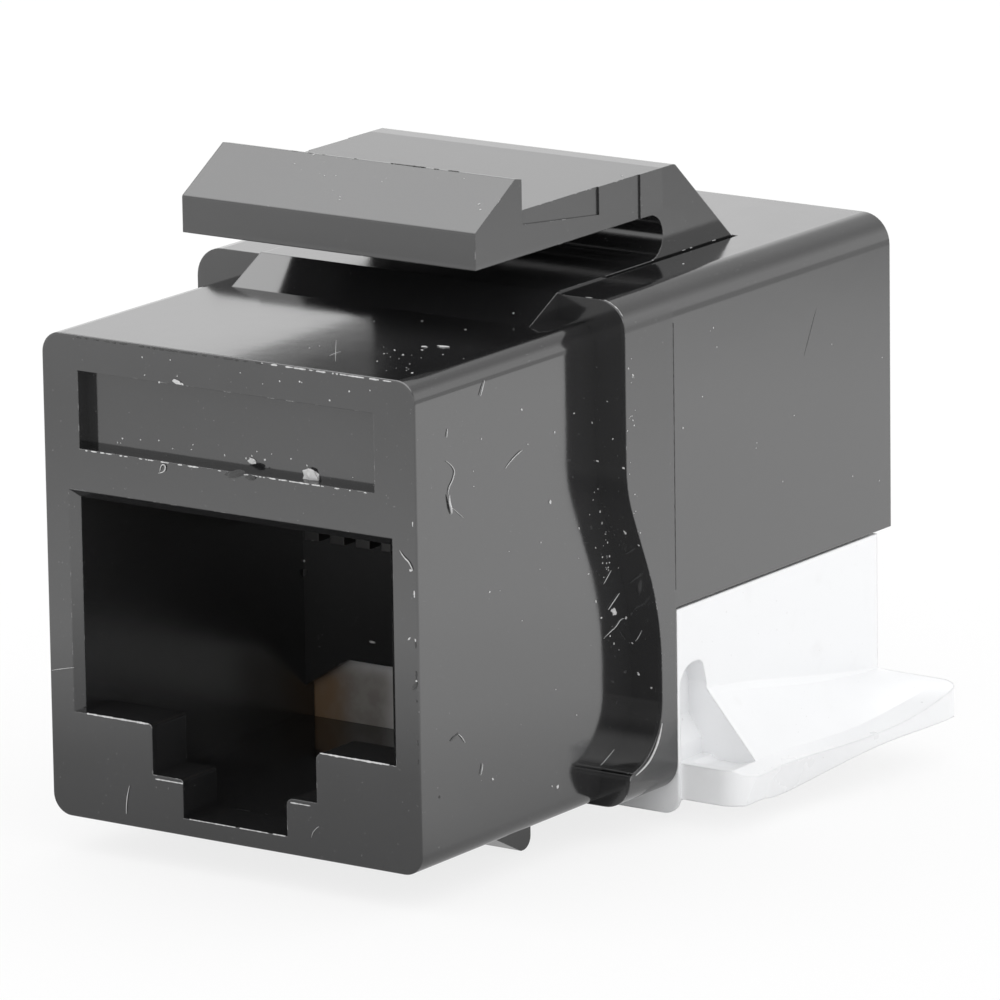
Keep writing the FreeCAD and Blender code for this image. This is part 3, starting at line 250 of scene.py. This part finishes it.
# The parts that the tool left matt, as blocks of (low corner, high corner), and how rough they are.
MATT = 0.27
PORT_INSIDE = ((-6.0, 0.3, 0.8), (6.1, 12.4, 10.3))
FLANGE_SIDES = (((8.3, 9.9, 0.0), (8.5, 12.6, 16.0)), ((-8.5, 9.9, 0.0), (-8.3, 12.6, 16.0)))
LATCH = ((-6.2, 5.0, 18.4), (6.2, 16.0, 21.4))

# A darker tone painted on the cap's front plate where it shows at the foot of the port, browner at
# its left end: painted shade, the port's own shade on the plate. The photograph doesn't tell grime
# there from the port's own shade. It is set down as blocks of (low corner, high corner, colour),
# and fades over this many millimetres.
PAINTED_SHADE_EDGE = 1.3
CAP_PAINTED_SHADE = ((-5.7, 11.0, 0.4), (-3.5, 12.8, 1.9), (0.31, 0.29, 0.27))
CAP_PAINTED_BROWN_SHADE = ((-6.1, 11.0, 0.4), (-5.5, 12.8, 1.6), (0.27, 0.18, 0.11))

BLUISH = (1, 1, 1.05)
# The pale of rubbed edges: partly wear, partly painted highlight.
RUBBED_AND_GLINT_GREY = grey(0.30)
DUST_GREY = grey(0.4)
SMUDGE_GREY = (0.52, 0.5, 0.48, 1)
SPECK_BROWN = (0.3, 0.28, 0.26, 1)
LACQUER_DARK = (0.012, 0.10, 0.035, 1)
LACQUER_PALE = (0.02, 0.13, 0.05, 1)
TRACK_GREEN = (0.04, 0.21, 0.08, 1)


def moulded_black(name, base, rough, matt_parts=()):
    """Glossy black plastic: faint flow marks, a fine grain, rubbed and nicked edges, partly painted pale
    as highlights, fine dust.
    """
    material, tree, shader = new_material(name)
    shader.inputs["Specular IOR Level"].default_value = 1.0
    eased, edge = worn_and_glinting_edges(tree, BLACK_EDGE, SEAM)
    flow = noise(tree, grain=3.0, detail=3.0, stretch=(1, 0.4, 1))
    # Outer edges in pale patches: partly wear, partly painted highlight where an edge catches the light.
    rubbed_and_glint = maths(tree, "MULTIPLY", edge, patches(tree, grain=0.35, detail=3.0, low=0.56, high=0.7))
    specks = maths(tree, "MULTIPLY", patches(tree, grain=0.07, detail=1.0, low=0.76, high=0.82), 0.35)
    body = blend(tree, flow, grey(base * 0.8), grey(base * 1.2, BLUISH))
    dusty = blend(tree, specks, body, DUST_GREY)
    feed(tree, shader.inputs["Base Color"], blend(tree, rubbed_and_glint, dusty, RUBBED_AND_GLINT_GREY))
    gloss = vary(tree, flow, rough * 0.85, rough * 1.25)
    dull = [maths(tree, "MULTIPLY", inside(tree, low, high), MATT) for low, high in matt_parts]
    worn = maths(tree, "MULTIPLY", rubbed_and_glint, 0.5)
    feed(tree, shader.inputs["Roughness"], either(tree, gloss, worn, *dull))
    ripple = noise(tree, grain=0.9)
    grit = noise(tree, grain=0.06)
    feed(tree, shader.inputs["Normal"], relief(tree, eased, (ripple, 0.002), (grit, 0.0005)))
    return material


def moulded_white(name, base, rough, painted_shade_parts=()):
    """White plastic with faint dirt, fine specks, a moulded grain and painted shade in some parts."""
    material, tree, shader = new_material(name)
    eased, _ = worn_and_glinting_edges(tree, WHITE_EDGE)
    cloud = noise(tree, grain=2.5, detail=4.0)
    clean = blend(tree, cloud, scaled(base, 0.97), scaled(base, 1))
    smudges = maths(tree, "MULTIPLY", patches(tree, grain=1.1, detail=5.0, low=0.58, high=0.78), 0.07)
    specks = maths(tree, "MULTIPLY", patches(tree, grain=0.09, detail=1.0, low=0.77, high=0.83), 0.5)
    colour = blend(tree, specks, blend(tree, smudges, clean, SMUDGE_GREY), SPECK_BROWN)
    uneven = remap(tree, noise(tree, grain=0.7, detail=3.0), 0.35, 0.6, to_low=0.88, to_high=1.0)
    # Painted shade: a darker tone laid over the colour in the listed blocks.
    for low, high, shade_tone in painted_shade_parts:
        cover = maths(tree, "MULTIPLY", inside(tree, low, high, PAINTED_SHADE_EDGE), uneven)
        colour = blend(tree, cover, colour, (*shade_tone, 1))
    feed(tree, shader.inputs["Base Color"], colour)
    feed(tree, shader.inputs["Roughness"], vary(tree, cloud, rough * 0.9, rough * 1.2))
    ripple = noise(tree, grain=0.8)
    grit = noise(tree, grain=0.05)
    feed(tree, shader.inputs["Normal"], relief(tree, eased, (ripple, 0.003), (grit, 0.001)))
    return material


def plated(name, bright, dull, rough, along):
    """Plated sheet metal: drawn lines along one axis and patches of duller plating."""
    material, tree, shader = new_material(name)
    shader.inputs["Metallic"].default_value = 1.0
    drawn = tuple(0.08 if axis == along else 1.0 for axis in "XYZ")
    lines = noise(tree, grain=0.05, stretch=drawn)
    dulled = patches(tree, grain=0.6, detail=3.0, low=0.4, high=0.65)
    feed(tree, shader.inputs["Base Color"], blend(tree, dulled, (*bright, 1), (*dull, 1)))
    feed(tree, shader.inputs["Roughness"], vary(tree, lines, rough, rough * 1.7))
    eased, _ = worn_and_glinting_edges(tree, METAL_EDGE)
    feed(tree, shader.inputs["Normal"], relief(tree, eased, (lines, 0.001)))
    return material


def solder_mask(name):
    """A green board: glass weave under the lacquer, and copper runs standing proud of it."""
    material, tree, shader = new_material(name)
    weave = waves(tree, grain=0.6, distortion=1.0)
    track = remap(tree, waves(tree, grain=1.6, distortion=2.0, along="Z"), 0.55, 0.62)
    lacquer = blend(tree, weave, LACQUER_DARK, LACQUER_PALE)
    feed(tree, shader.inputs["Base Color"], blend(tree, track, lacquer, TRACK_GREEN))
    feed(tree, shader.inputs["Roughness"], vary(tree, noise(tree, grain=0.5), 0.25, 0.4))
    feed(tree, shader.inputs["Normal"], relief(tree, None, (track, 0.01), (weave, 0.002)))
    return material


def lint_fluff(name, level):
    """Dust, fibres and burrs, and the pale glints and dark seam line that are painted light and shade:
    matt, with light and dark stretches.
    """
    material, tree, shader = new_material(name)
    shader.inputs["Sheen Weight"].default_value = 0.3
    cloud = noise(tree, grain=0.12, detail=3.0)
    feed(tree, shader.inputs["Base Color"], blend(tree, cloud, grey(level * 0.6), grey(level)))
    feed(tree, shader.inputs["Roughness"], vary(tree, cloud, 0.7, 0.95))
    feed(tree, shader.inputs["Normal"], relief(tree, None, (noise(tree, grain=0.03), 0.005)))
    return material


BLACK = moulded_black("moulded_black", 0.017, 0.10, (PORT_INSIDE, LATCH, *FLANGE_SIDES))
COVER_BLACK = moulded_black("cover_black", 0.016, 0.14)
INSERT_BLACK = moulded_black("insert_black", 0.006, 0.5)
# The cap's white carries the painted shade at the foot of the port.
WHITE = moulded_white("moulded_white", (0.86, 0.865, 0.875), 0.3, (CAP_PAINTED_SHADE, CAP_PAINTED_BROWN_SHADE))
BLOCK_WHITE = moulded_white("block_white", (0.74, 0.74, 0.73), 0.35)
GOLD = plated("gold_plate", (0.86, 0.61, 0.24), (0.68, 0.45, 0.17), 0.18, "Y")
TIN = plated("tin_plate", (0.74, 0.73, 0.71), (0.55, 0.54, 0.52), 0.28, "Z")
BOARD = solder_mask("solder_mask")
PALE_DUST_AND_GLINT = lint_fluff("pale_dust_and_glint", 0.7)
# Dark dust and chips, and the painted shade in the flange's seam.
DARK_DUST_AND_SHADE = lint_fluff("dark_dust_and_shade", 0.05)
# Pale slivers: burrs, and painted highlights along edges.
GLINT = lint_fluff("edge_burr_and_glint", 0.7)


def dress(name, material):
    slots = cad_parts[name].data.materials
    slots.clear()
    slots.append(material)


def dress_all():
    dress("front_housing", BLACK)
    dress("rear_cover", COVER_BLACK)
    dress("contact_carrier", INSERT_BLACK)
    dress("circuit_board", BOARD)
    dress("connector_block", BLOCK_WHITE)
    dress("wire_cap", WHITE)
    for number in range(1, CONTACTS + 1):
        dress(f"contact_{number}", GOLD)
        dress(f"connector_blade_{number}", TIN)


# --------------------------------------------------------- dust, lint and nicks
# One seed, so that the same marks fall at every run.
rng = random.Random(7)

# Each mark is dropped on the object from a place just off one side, along one line. Its place on
# that side is x and height on the front, depth and height on the side, x and depth on the top and
# the latch. Marks for the top start under the latch, so that they also fall on what it covers.
DROPS = {
    "front": (lambda x, height: at(x, -2, height), Vector((0, 1, 0))),
    "side": (lambda depth, height: at(12, depth, height), Vector((-1, 0, 0))),
    "top": (lambda x, depth: at(x, depth, 17.6), Vector((0, 0, -1))),
    "latch": (lambda x, depth: at(x, depth, 24), Vector((0, 0, -1))),
}


def land(side, first, second):
    """The point of the object that a mark falls on, and the surface's normal there."""
    start, towards = DROPS[side]
    origin = start(first, second)
    found = []
    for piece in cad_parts.values():
        struck, point, normal, _ = piece.ray_cast(origin, towards)
        if struck:
            found.append(((point - origin).length, point, normal))
    _, point, normal = min(found, key=lambda one: one[0])
    return point, normal


# A flake's thickness as a share of its smaller size, how much of that it stands off the surface,
# and how far its corners are pulled in or out.
FLAKE_THICKNESS = 0.35
FLAKE_LIFT = 0.3
FLAKE_UNEVEN = (-0.35, 0.25)


def add_fleck(mesh, point, normal, along, length, width):
    """An irregular flake that lies on a surface: a squashed ball with its corners pulled about."""
    across = normal.cross(along).normalized()
    forward = across.cross(normal)
    thick = FLAKE_THICKNESS * min(length, width)
    squash = Matrix((forward * length, across * width, normal * thick)).transposed().to_4x4()
    squash.translation = point + normal * thick * FLAKE_LIFT
    made = bmesh.ops.create_icosphere(mesh, subdivisions=2, radius=0.5, matrix=squash)
    for vertex in made["verts"]:
        vertex.co += (vertex.co - squash.translation) * rng.uniform(*FLAKE_UNEVEN)


def finish_marks(name, mesh, material):
    """Turn a mesh of marks into a piece that rides on the jack."""
    data = bpy.data.meshes.new(name)
    mesh.to_mesh(data)
    mesh.free()
    data.materials.append(material)
    piece = bpy.data.objects.new(name, data)
    bpy.context.scene.collection.objects.link(piece)
    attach(piece, "jack")


def any_way():
    return Vector((rng.uniform(-1, 1), rng.uniform(-1, 1), rng.uniform(-1, 1))).normalized()


def part_way(begin, end, share):
    """The place on a side that is a share of the way from one place to another."""
    return (a + (b - a) * share for a, b in zip(begin, end))


# Single specks: the side they fall on, their place there, and their size, all in millimetres.
SPECKS = (
    ("top", 1.1, 6.5, 0.08), ("top", 4.1, 3.4, 0.14), ("top", 4.7, 3.0, 0.12), ("top", 4.8, 3.9, 0.12),
    ("top", 6.4, 1.1, 0.16), ("top", 2.4, 7.3, 0.10), ("top", 4.3, 7.0, 0.09), ("top", 4.9, 8.8, 0.08),
    ("top", 1.6, 2.3, 0.10), ("top", 1.7, 2.7, 0.08), ("top", 6.6, 3.6, 0.08), ("top", 5.6, 2.1, 0.09),
    ("front", -1.7, 14.8, 0.16), ("front", -2.6, 14.75, 0.10), ("front", 1.1, 12.6, 0.14),
    ("front", -6.0, 5.9, 0.12), ("front", 6.9, 7.7, 0.16), ("front", 7.0, 9.9, 0.14),
    ("side", 7.6, 12.8, 0.14), ("side", 5.8, 13.9, 0.10), ("side", 7.3, 10.6, 0.18),
    ("side", 8.7, 13.2, 0.10), ("side", 8.9, 9.4, 0.10), ("side", 10.1, 9.7, 0.10),
    ("side", 9.7, 12.7, 0.09), ("side", 10.2, 9.3, 0.12), ("side", 9.4, 7.8, 0.12),
    ("side", 9.8, 6.8, 0.14), ("side", 10.1, 6.2, 0.12), ("side", 10.8, 5.2, 0.10),
    ("side", 10.8, 6.2, 0.24), ("side", 11.5, 5.9, 0.16), ("side", 3.9, 2.3, 0.12),
    ("side", 7.5, 1.2, 0.14), ("side", 7.2, 1.3, 0.10), ("side", 15.0, 14.9, 0.09),
    ("side", 19.0, 9.0, 0.08), ("side", 22.0, 13.0, 0.07), ("side", 10.5, 8.6, 0.10),
    ("front", 7.7, 13.4, 0.09), ("front", 7.9, 12.2, 0.10), ("front", 7.3, 11.4, 0.12),
    ("front", 8.3, 11.3, 0.12), ("front", 7.9, 9.0, 0.17), ("front", 8.3, 8.6, 0.10),
    ("front", 7.3, 5.0, 0.10), ("front", 7.5, 4.0, 0.14), ("front", 8.0, 3.6, 0.12),
    ("latch", 5.4, 14.3, 0.10), ("latch", 6.8, 15.7, 0.12), ("latch", 2.0, 11.0, 0.08),
    ("latch", 5.1, 6.7, 0.14), ("latch", 5.3, 6.5, 0.10), ("latch", 0.0, 6.3, 0.07),
)
# Longer flakes: the side they fall on, their place there, their length and width.
FLAKES = (
    ("top", 5.1, 4.6, 0.42, 0.16), ("top", 4.6, 4.3, 0.22, 0.12), ("front", 2.9, 12.3, 0.62, 0.5),
    ("front", -1.9, 14.85, 0.34, 0.16), ("front", 0.6, 12.5, 0.3, 0.2), ("side", 10.8, 6.25, 0.3, 0.2),
)
# The way that the longer flakes point.
FLAKE_LIES = Vector((1, 0.2, -0.2))
# Darker flakes also have a slope, their rise along the side.
DARK_FLAKES = (
    ("front", 0.3, 12.15, 0.75, 0.24, 0.3), ("front", 0.9, 12.1, 0.4, 0.2, 0.2),
    ("front", 7.1, 6.2, 0.3, 0.14, 2.0), ("front", -6.0, 5.5, 0.3, 0.16, 3.0),
    ("side", 1.8, 4.15, 0.5, 0.08, 0.35), ("side", 1.0, 2.4, 0.1, 0.08, 1.0),
    ("side", 20.7, 13.65, 1.6, 0.03, 1.9),
)
# Fine dust: the side, the two ends of the stretch it lies along, how far it strays, how many.
DUST_TRAILS = (
    ("side", (10.25, 15.5), (10.4, 7.5), 0.16, 34), ("side", (9.3, 13.0), (10.9, 5.0), 0.45, 13),
    ("top", (4.0, 3.8), (6.4, 1.2), 0.5, 16), ("front", (-5.0, 12.5), (5.0, 12.6), 0.15, 16),
    ("front", (-5.0, 15.4), (6.5, 15.2), 0.2, 12), ("side", (2.0, 13.5), (8.0, 3.0), 1.6, 14),
    ("latch", (-4.0, 7.4), (5.0, 7.2), 0.6, 10), ("side", (14.0, 14.0), (24.0, 8.0), 1.6, 10),
)
# Least and most: the fine dust's size, a speck's size as a share of the one listed, and the width
# of either as a share of its length.
FINE_SIZE = (0.03, 0.07)
FINE_WIDTH = (0.5, 1.0)
SPECK_SIZE = (0.6, 0.9)
SPECK_WIDTH = (0.5, 0.9)


def add_dust_trails(mesh):
    for side, begin, end, stray, count in DUST_TRAILS:
        for _ in range(count):
            share = rng.random()
            first, second = (middle + rng.gauss(0, stray) for middle in part_way(begin, end, share))
            point, normal = land(side, first, second)
            size = rng.uniform(*FINE_SIZE) * MM
            add_fleck(mesh, point, normal, any_way(), size, size * rng.uniform(*FINE_WIDTH))


def add_dust():
    mesh = bmesh.new()
    add_dust_trails(mesh)
    for side, first, second, size in SPECKS:
        point, normal = land(side, first, second)
        size *= rng.uniform(*SPECK_SIZE)
        add_fleck(mesh, point, normal, any_way(), size * MM, size * rng.uniform(*SPECK_WIDTH) * MM)
    for side, first, second, length, width in FLAKES:
        point, normal = land(side, first, second)
        add_fleck(mesh, point, normal, FLAKE_LIES, length * MM, width * MM)
    finish_marks("dust_flecks", mesh, PALE_DUST_AND_GLINT)


def add_dark_flakes():
    mesh = bmesh.new()
    for side, first, second, length, width, slope in DARK_FLAKES:
        point, normal = land(side, first, second)
        along = Vector((1, 1, slope)).normalized()
        add_fleck(mesh, point, normal, along, length * MM, width * MM)
    finish_marks("dark_flakes", mesh, DARK_DUST_AND_SHADE)


# Pale slivers along moulded edges: burrs and dust on some, painted highlights on others where an
# edge catches the light, as along the port's ledges: the side, the two ends, the share of the edge
# that they cover, and their width.
BURRS_AND_GLINTS = (
    ("front", (1.4, 15.84), (6.3, 15.84), 0.6, 0.055), ("front", (-5.6, 12.17), (5.4, 12.17), 0.45, 0.05),
    ("front", (-5.8, 3.5), (-3.3, 3.5), 1.0, 0.07), ("front", (-3.1, 1.72), (-2.1, 1.72), 0.95, 0.045),
    ("front", (-1.8, 0.58), (1.9, 0.58), 0.95, 0.04), ("front", (2.2, 1.72), (3.1, 1.72), 0.9, 0.045),
    ("front", (3.4, 3.5), (6.0, 3.5), 1.0, 0.07), ("front", (7.08, 14.6), (7.15, 6.0), 0.1, 0.06),
    ("top", (6.9, 9.95), (8.2, 10.0), 0.5, 0.04),
    ("side", (15.4, 16.74), (19.6, 16.74), 0.25, 0.035),
)
# A dark line painted in the seam behind the flange, as painted shade in its gap, and chips out of edges.
DARK_NICKS_AND_SEAM_SHADE = (
    # Painted shade: a dark strip along the seam's gap.
    ("side", (SEAM_DEPTH, 15.5), (SEAM_DEPTH, 6.8), 1.0, 0.05),
    ("front", (-6.0, 15.82), (1.6, 15.82), 0.45, 0.06), ("front", (7.12, 13.0), (7.16, 2.0), 0.1, 0.07),
    ("latch", (0.9, 7.85), (3.4, 7.85), 0.7, 0.09), ("latch", (-3.6, 7.85), (0.9, 7.85), 0.12, 0.06),
)
# Least and most length of a sliver, how far it overlaps the next, and its width as a share.
SLIVER_LENGTH = (0.04, 0.22)
SLIVER_OVERLAP = 1.3
SLIVER_WIDTH = (0.6, 1.1)


def add_edge_marks(name, rows, material):
    """Rows of short slivers along edges, of uneven length and with gaps between them."""
    mesh = bmesh.new()
    for side, begin, end, share, width in rows:
        run = math.dist(begin, end)
        along = (land(side, *end)[0] - land(side, *begin)[0]).normalized()
        gone = 0.0
        while gone < run:
            length = rng.uniform(*SLIVER_LENGTH)
            if rng.random() < share:
                middle = min((gone + length / 2) / run, 1.0)
                point, normal = land(side, *part_way(begin, end, middle))
                size = width * rng.uniform(*SLIVER_WIDTH)
                add_fleck(mesh, point, normal, along, length * SLIVER_OVERLAP * MM, size * MM)
            gone += length
    finish_marks(name, mesh, material)


# Loose fibres, and one painted highlight: the side they lie on, how thick they are, and the points that
# they pass.
FIBRES_AND_GLINT = (
    ("side", 0.035, ((1.6, 13.1), (2.1, 12.8), (2.0, 12.45), (1.7, 12.2), (1.7, 12.0))),
    ("side", 0.09, ((1.7, 12.0), (1.72, 11.75), (1.82, 11.5), (1.85, 11.35))),
    ("side", 0.03, ((1.8, 11.6), (2.1, 11.4), (2.5, 11.1))),
    ("side", 0.06, ((3.5, 14.8), (3.6, 15.0), (3.75, 15.25))),
    ("side", 0.05, ((1.65, 13.85), (1.7, 14.0), (1.72, 14.1))),
    ("side", 0.045, ((4.85, 12.2), (5.2, 12.45), (5.75, 12.6))),
    ("side", 0.05, ((3.2, 2.6), (3.3, 2.75), (3.32, 2.95))),
    ("side", 0.05, ((2.05, 4.2), (2.2, 4.1), (2.4, 3.85))),
    ("side", 0.05, ((10.2, 7.3), (10.4, 7.45), (10.65, 7.65))),
    ("side", 0.07, ((10.45, 6.4), (10.75, 6.6), (11.1, 6.8))),
    ("side", 0.035, ((10.2, 5.5), (10.6, 5.65), (10.9, 5.72), (11.2, 5.95), (11.4, 5.9))),
    ("side", 0.04, ((9.95, 1.35), (10.3, 1.5), (10.7, 1.7))),
    ("front", 0.04, ((7.45, 5.1), (7.6, 5.25), (7.72, 5.5))),
    ("front", 0.035, ((-7.15, 4.75), (-6.8, 4.85), (-6.3, 4.95))),
    ("front", 0.05, ((-4.3, 0.4), (-4.3, 0.9), (-4.15, 1.35))),
    ("front", 0.05, ((6.6, 10.5), (6.75, 10.3), (7.0, 10.15), (7.1, 9.9))),
    ("front", 0.05, ((-2.7, 11.8), (-2.45, 11.85), (-2.4, 12.1), (-2.6, 12.1), (-2.65, 11.85))),
    ("front", 0.03, ((3.0, 0.7), (3.05, 0.95), (3.3, 1.1))),
    ("top", 0.025, ((1.7, 3.6), (2.6, 2.3), (3.4, 1.2))),
    ("top", 0.025, ((2.8, 1.7), (2.75, 2.1), (2.75, 2.4))),
    # A pale thread along the flange's edge by the foot: a painted highlight where that edge catches the
    # light.
    ("side", 0.09, ((11.75, 2.5), (11.6, 2.1), (11.25, 1.65), (10.75, 1.3), (10.15, 1.14))),
)
# A fibre's radius as a share of its listed thickness, how far it stands off the surface and how
# much it swells, least and most, as shares of the thickness, and how thin its ends get.
FIBRE_RADIUS = 0.42
FIBRE_LIFT = (0.3, 0.9)
FIBRE_SWELL = (0.8, 1.2)
FIBRE_TAPER = 0.3


def lay_fibre(spline, side, thick, places):
    """Run a spline over the object through the places, thinner at both ends."""
    spline.points.add(len(places) - 1)
    for point, (first, second) in zip(spline.points, places):
        spot, normal = land(side, first, second)
        lifted = spot + normal * rng.uniform(*FIBRE_LIFT) * thick * MM
        point.co = (*lifted, 1)
        point.radius = thick * rng.uniform(*FIBRE_SWELL)
    for end in (spline.points[0], spline.points[-1]):
        end.radius *= FIBRE_TAPER
    spline.order_u = 3
    spline.use_endpoint_u = True


def add_fibres_and_glint():
    curve = bpy.data.curves.new("lint_fibres_and_glint", "CURVE")
    curve.dimensions = "3D"
    curve.bevel_depth = FIBRE_RADIUS * MM
    curve.bevel_resolution = 1
    curve.use_fill_caps = True
    for side, thick, places in FIBRES_AND_GLINT:
        lay_fibre(curve.splines.new("NURBS"), side, thick, places)
    # Pale like dust, which also gives the painted highlight on the flange's edge.
    curve.materials.append(PALE_DUST_AND_GLINT)
    piece = bpy.data.objects.new("lint_fibres_and_glint", curve)
    bpy.context.scene.collection.objects.link(piece)
    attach(piece, "jack")


# -------------------------------------------------------- floor, world and camera
FLOOR_SIZE = 4.0
FLOOR_WHITE = grey(0.86)
# How much of what the camera sees of the floor is plain white. The rest holds the shadow.
FLOOR_PLAIN = 0.8
# How bright the floor is in reflections, at so many millimetres from the middle of the object, in
# front and to the left of it, and behind and to the right. One turns into the other over
# FLOOR_TURN millimetres to both sides of the middle. The levels are tuned to the photograph.
FLOOR_REACH = 120.0
FLOOR_NEAR = ((10, 0.5), (26, 0.72), (43, 1.42), (60, 1.3), (80, 1.1), (95, 1.25), (115, 1.3))
FLOOR_FAR = ((5, 0.5), (13, 1.0), (22, 1.32), (36, 1.5), (66, 1.55), (86, 1.38), (97, 0.95), (115, 0.9))
FLOOR_TURN = 8.0
TOWARDS_FAR = (0.57, 0.82, 0.0)

# How bright the studio is in reflections, from the horizon at 0 to overhead at 1: a pale wall, a
# dim gap above it, and a soft box, tuned to the photograph. All else is lit evenly by the room's
# light, and the camera sees plain white.
STUDIO = ((0.0, 1.38), (0.28, 1.38), (0.48, 0.78), (0.6, 0.78), (0.76, 3.2), (1.0, 3.2))
ROOM_LIGHT = 1.2
PLAIN_WHITE = 1.0

# The photograph's view, as fitted to it: through a long lens, from 35 degrees to the right of the
# front and 14 above.
LENS = 339.66
SENSOR = 36.0
CAMERA_AT = (0.1720349, -0.2441731, 0.0824638)
CAMERA_TURN = (1.3320204, 0.0142412, 0.6062045)
CLIP = (0.01, 20.0)


def light_path(tree):
    made = tree.nodes.new("ShaderNodeLightPath")
    return made.outputs["Is Camera Ray"], made.outputs["Is Glossy Ray"]


def ramp_of(tree, factor, stops, reach=1.0):
    """A grey level that follows (place, level) stops. The place runs from 0 to a reach."""
    made = node(tree, "ShaderNodeValToRGB", Fac=factor)
    elements = made.color_ramp.elements
    while len(elements) < len(stops):
        elements.new(0.5)
    highest = max(level for _, level in stops)
    for element, (place, level) in zip(elements, stops):
        element.position = place / reach
        element.color = grey(level / highest)
    return maths(tree, "MULTIPLY", made.outputs["Color"], highest)


def mix_shaders(tree, factor, first, second):
    made = node(tree, "ShaderNodeMixShader", Fac=factor)
    tree.links.new(first, made.inputs[1])
    tree.links.new(second, made.inputs[2])
    return made.outputs[0]


def floor_glow(tree):
    """How bright the floor is in reflections, by how far and on which side a point of it lies."""
    where = tree.nodes.new("ShaderNodeNewGeometry").outputs["Position"]
    away = maths(tree, "DIVIDE", vector_maths(tree, "LENGTH", where), FLOOR_REACH * MM)
    near_side = ramp_of(tree, away, FLOOR_NEAR, FLOOR_REACH)
    far_side = ramp_of(tree, away, FLOOR_FAR, FLOOR_REACH)
    aside = vector_maths(tree, "DOT_PRODUCT", where, TOWARDS_FAR)
    turned = remap(tree, aside, -FLOOR_TURN * MM, FLOOR_TURN * MM)
    return remap(tree, turned, 0.0, 1.0, near_side, far_side)


def floor_material():
    """White to the camera but for a faint shadow. Reflections see its own glow instead."""
    material, tree, shader = new_material("floor_white")
    shader.inputs["Base Color"].default_value = FLOOR_WHITE
    shader.inputs["Roughness"].default_value = 0.9
    camera_ray, glossy_ray = light_path(tree)
    reflected = node(tree, "ShaderNodeEmission", Strength=floor_glow(tree)).outputs[0]
    white = node(tree, "ShaderNodeEmission", Strength=PLAIN_WHITE).outputs[0]
    plain = maths(tree, "MULTIPLY", camera_ray, FLOOR_PLAIN)
    seen = mix_shaders(tree, plain, shader.outputs[0], white)
    both = mix_shaders(tree, glossy_ray, seen, reflected)
    tree.links.new(both, tree.nodes["Material Output"].inputs["Surface"])
    return material


def add_floor():
    bpy.ops.mesh.primitive_plane_add(size=FLOOR_SIZE, location=(0, 0, cad_box[0][2]))
    floor = bpy.context.object
    floor.name = "floor"
    floor.data.materials.append(floor_material())
    # The cap comes off downwards, so the floor stays under it and the jack is left lifted.
    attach(floor, "cap")


def add_world():
    world = bpy.data.worlds.new("studio")
    bpy.context.scene.world = world
    world.use_nodes = True
    tree = world.node_tree
    camera_ray, glossy_ray = light_path(tree)
    towards = tree.nodes.new("ShaderNodeTexCoord").outputs["Generated"]
    height = node(tree, "ShaderNodeSeparateXYZ", Vector=towards).outputs["Z"]
    studio = ramp_of(tree, height, STUDIO)
    even = remap(tree, camera_ray, 0.0, 1.0, ROOM_LIGHT, PLAIN_WHITE)
    extra = maths(tree, "MULTIPLY", maths(tree, "SUBTRACT", studio, even), glossy_ray)
    background = tree.nodes["Background"]
    feed(tree, background.inputs["Strength"], maths(tree, "ADD", even, extra))
    background.inputs["Color"].default_value = grey(1.0)


def add_camera():
    data = bpy.data.cameras.new("camera")
    camera = bpy.data.objects.new("camera", data)
    bpy.context.scene.collection.objects.link(camera)
    data.lens = LENS
    data.sensor_width = SENSOR
    data.clip_start, data.clip_end = CLIP
    camera.location = CAMERA_AT
    camera.rotation_euler = CAMERA_TURN
    bpy.context.scene.camera = camera


dress_all()
add_dust()
add_dark_flakes()
# Burrs, and painted highlights along edges.
add_edge_marks("edge_burrs_and_glints", BURRS_AND_GLINTS, GLINT)
# Chips out of edges, and the painted shade in the seam.
add_edge_marks("edge_nicks_and_seam_shade", DARK_NICKS_AND_SEAM_SHADE, DARK_DUST_AND_SHADE)
add_fibres_and_glint()
add_floor()
add_world()
add_camera()
bpy.context.scene.view_settings.view_transform = "Standard"
